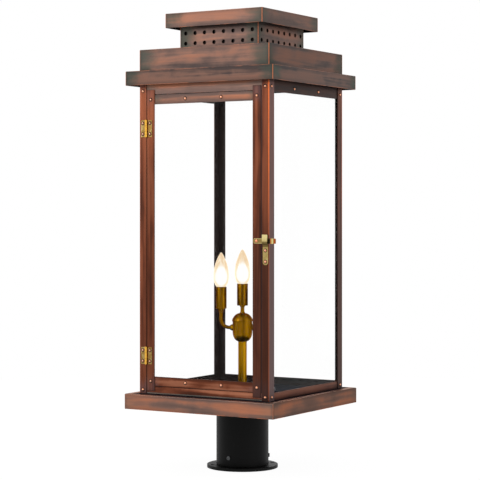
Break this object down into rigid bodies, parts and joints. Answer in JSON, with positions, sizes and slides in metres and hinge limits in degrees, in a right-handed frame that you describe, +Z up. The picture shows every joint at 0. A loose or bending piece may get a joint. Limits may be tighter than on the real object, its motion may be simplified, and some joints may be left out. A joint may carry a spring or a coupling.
{
  "type": "post top lantern",
  "caption": "Square glazed copper lantern with a perforated roof vent, a hinged and latched door and a candle-style light cluster, on a round pier mount.",
  "frame": {"origin": "centre of the pier plate's underside", "axes": "+Z up, -Y towards the door, the door's hinges at -X"},
  "size_m": [0.343, 0.343, 0.9167],
  "materials": {
    "copper_sheet": "antique copper sheet, brushed, brown-red with grey-green patina",
    "copper_frame": "antique copper posts and rails, brushed, with rubbed bright edges",
    "copper_rivet": "bright domed copper rivet heads",
    "bright_brass": "brushed yellow brass",
    "antique_brass": "darker satin antique brass",
    "black_steel": "satin black powder coat",
    "zinc_steel": "plain zinc-plated steel",
    "clear_glass": "clear flat glass",
    "lit_bulb": "frosted, lit"
  },
  "bodies": {
    "pier_mount": {"pier_plate": "black_steel", "pier_stub": "black_steel"},
    "lantern": {"base_tray": "copper_sheet", "bulbs": "lit_bulb", "candle_sleeves": "antique_brass", "cluster_arms": "antique_brass", "cluster_column": "antique_brass", "door_stops": "copper_frame", "eave_tray": "copper_sheet", "fitter": "black_steel", "fitter_bolts": "zinc_steel", "frame_rivets": "copper_rivet", "front_header": "copper_frame", "front_sill": "copper_frame", "hardware_rivets": "copper_rivet", "hinge_pins": "bright_brass", "hinge_post_leaves": "bright_brass", "latch_keeper": "bright_brass", "left_bottom_rail": "copper_frame", "left_glass": "clear_glass", "left_top_rail": "copper_frame", "pane_clips": "copper_frame", "perforated_collar": "copper_sheet", "post_front_left": "copper_frame", "post_front_right": "copper_frame", "post_rear_left": "copper_frame", "post_rear_right": "copper_frame", "rear_bottom_rail": "copper_frame", "rear_glass": "clear_glass", "rear_top_rail": "copper_frame", "right_bottom_rail": "copper_frame", "right_glass": "clear_glass", "right_top_rail": "copper_frame", "roof_box": "copper_sheet", "set_screws": "zinc_steel", "top_cap": "copper_sheet", "vent_baffle": "copper_sheet"},
    "door": {"door_hinge_stile": "copper_frame", "door_latch_stile": "copper_frame", "door_top_rail": "copper_frame", "door_bottom_rail": "copper_frame", "door_glass": "clear_glass", "door_clips": "copper_frame", "door_rivets": "copper_rivet", "hinge_door_leaves": "bright_brass", "latch_pivot": "copper_rivet"},
    "latch": {"latch_bar": "bright_brass"}
  },
  "joints": [
    {"name": "post_swivel", "type": "hinge", "parent": "pier_mount", "child": "lantern", "pos_m": [0, 0, 0.0064], "axis": [0, 0, 1], "range_deg": [-180, 180]},
    {"name": "door_hinge", "type": "hinge", "parent": "lantern", "child": "door", "pos_m": [-0.133, -0.1528, 0.461], "axis": [0, 0, -1], "range_deg": [0, 150]},
    {"name": "latch_pivot", "type": "hinge", "parent": "door", "child": "latch", "pos_m": [0.1233, -0.1514, 0.4624], "axis": [0, -1, 0], "range_deg": [0, 90]}
  ]
}
